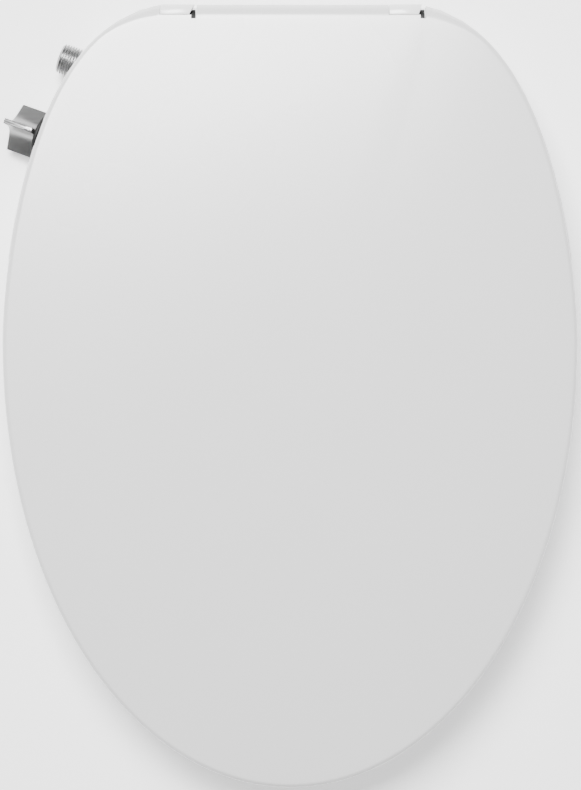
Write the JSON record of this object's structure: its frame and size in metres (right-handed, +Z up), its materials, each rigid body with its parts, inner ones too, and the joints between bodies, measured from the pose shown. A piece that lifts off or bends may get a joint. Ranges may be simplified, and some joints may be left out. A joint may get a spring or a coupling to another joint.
{
  "type": "bidet seat",
  "caption": "Elongated soft-close toilet seat with a closed white lid, a low rear housing, a star-shaped water knob and a threaded water inlet on its left side.",
  "frame": {"origin": "on the toilet's deck, midway between the two mounting bolts, on the underside of the mounting plate", "axes": "+Z up out of the deck, +Y to the rear towards the cistern, so -Y is the nose of the seat and +X is the right side of a person who faces the cistern"},
  "size_m": [0.3801, 0.5156, 0.116],
  "materials": {
    "white_plastic": "high gloss moulded white",
    "soft_white_plastic": "fine matte moulded white",
    "natural_plastic": "unpainted engineering plastic",
    "hose_plastic": "smooth translucent white tube",
    "bumper_rubber": "soft off-white rubber",
    "pad_rubber": "soft grey rubber",
    "black_rubber": "black rubber",
    "black_plastic": "black moulded plastic",
    "marker_plastic": "pale printed dot",
    "valve_brass": "turned brass",
    "satin_metal": "satin, fine grain",
    "steel": "bright zinc or stainless"
  },
  "bodies": {
    "base": {"base_tray": "soft_white_plastic", "top_cover": "white_plastic", "case_screw_1": "steel", "case_screw_2": "steel", "case_screw_3": "steel", "case_screw_4": "steel", "foot_pad_1": "pad_rubber", "foot_pad_2": "pad_rubber", "foot_pad_3": "pad_rubber", "foot_pad_4": "pad_rubber", "mounting_plate": "natural_plastic", "mounting_bolt_left": "steel", "mounting_bolt_right": "steel", "rubber_washer_left": "black_rubber", "rubber_washer_right": "black_rubber", "bolt_washer_left": "steel", "bolt_washer_right": "steel", "mounting_nut_left": "steel", "mounting_nut_right": "steel", "release_spring": "steel", "valve_body": "natural_plastic", "valve_cartridge": "valve_brass", "knob_collar": "black_plastic", "inlet_nipple": "satin_metal", "inlet_filter": "steel", "inlet_seal": "black_rubber", "nozzle_block": "natural_plastic", "nozzle_block_cap": "natural_plastic", "rear_wash_spring": "steel", "front_wash_spring": "steel", "rear_wash_hose": "hose_plastic", "front_wash_hose": "hose_plastic", "guard_pin": "steel", "hinge_post_left": "black_plastic", "hinge_post_right": "black_plastic", "post_screw_left": "steel", "post_screw_right": "steel", "lid_damper": "black_plastic", "seat_damper": "black_plastic"},
    "seat": {"seat_ring": "white_plastic", "seat_underside": "soft_white_plastic", "seat_bumper_1": "bumper_rubber", "seat_bumper_2": "bumper_rubber", "seat_bumper_3": "bumper_rubber", "seat_bumper_4": "bumper_rubber", "seat_damper_shaft": "steel"},
    "lid": {"lid": "white_plastic", "lid_hinge_cap_left": "white_plastic", "lid_hinge_cap_right": "white_plastic", "lid_bumper_1": "bumper_rubber", "lid_bumper_2": "bumper_rubber", "lid_damper_shaft": "steel"},
    "knob": {"knob": "satin_metal", "knob_marker": "marker_plastic", "valve_stem": "valve_brass"},
    "rear_wash_nozzle": {"rear_wash_nozzle": "white_plastic"},
    "front_wash_nozzle": {"front_wash_nozzle": "white_plastic"},
    "nozzle_guard": {"nozzle_guard": "white_plastic"},
    "release_button": {"release_button": "white_plastic"}
  },
  "joints": [
    {"name": "seat_hinge", "type": "hinge", "parent": "base", "child": "seat", "pos_m": [0, 0.0345, 0.0455], "axis": [-1, 0, 0], "range_deg": [0, 95]},
    {"name": "lid_hinge", "type": "hinge", "parent": "seat", "child": "lid", "pos_m": [0, 0.0345, 0.0455], "axis": [1, 0, 0], "range_deg": [-105, 0]},
    {"name": "knob_turn", "type": "hinge", "parent": "base", "child": "knob", "pos_m": [-0.17553, -0.03543, 0.019], "axis": [-0.9185, 0.3416, -0.1994], "range_deg": [-90, 90]},
    {"name": "rear_wash_slide", "type": "slide", "parent": "base", "child": "rear_wash_nozzle", "axis": [0, -0.9903, -0.1392], "range_m": [0, 0.05], "stiffness_N_per_m": 40, "springref_m": -0.01, "deforming": ["rear_wash_spring"]},
    {"name": "front_wash_slide", "type": "slide", "parent": "base", "child": "front_wash_nozzle", "axis": [0, -0.9903, -0.1392], "range_m": [0, 0.05], "stiffness_N_per_m": 40, "springref_m": -0.01, "deforming": ["front_wash_spring"]},
    {"name": "nozzle_guard_hinge", "type": "hinge", "parent": "base", "child": "nozzle_guard", "pos_m": [0, -0.063, 0.027], "axis": [-1, 0, 0], "range_deg": [0, 75]},
    {"name": "release_button_press", "type": "slide", "parent": "base", "child": "release_button", "axis": [-1, 0, 0], "range_m": [0, 0.003], "stiffness_N_per_m": 500, "springref_m": -0.004, "deforming": ["release_spring"]}
  ]
}
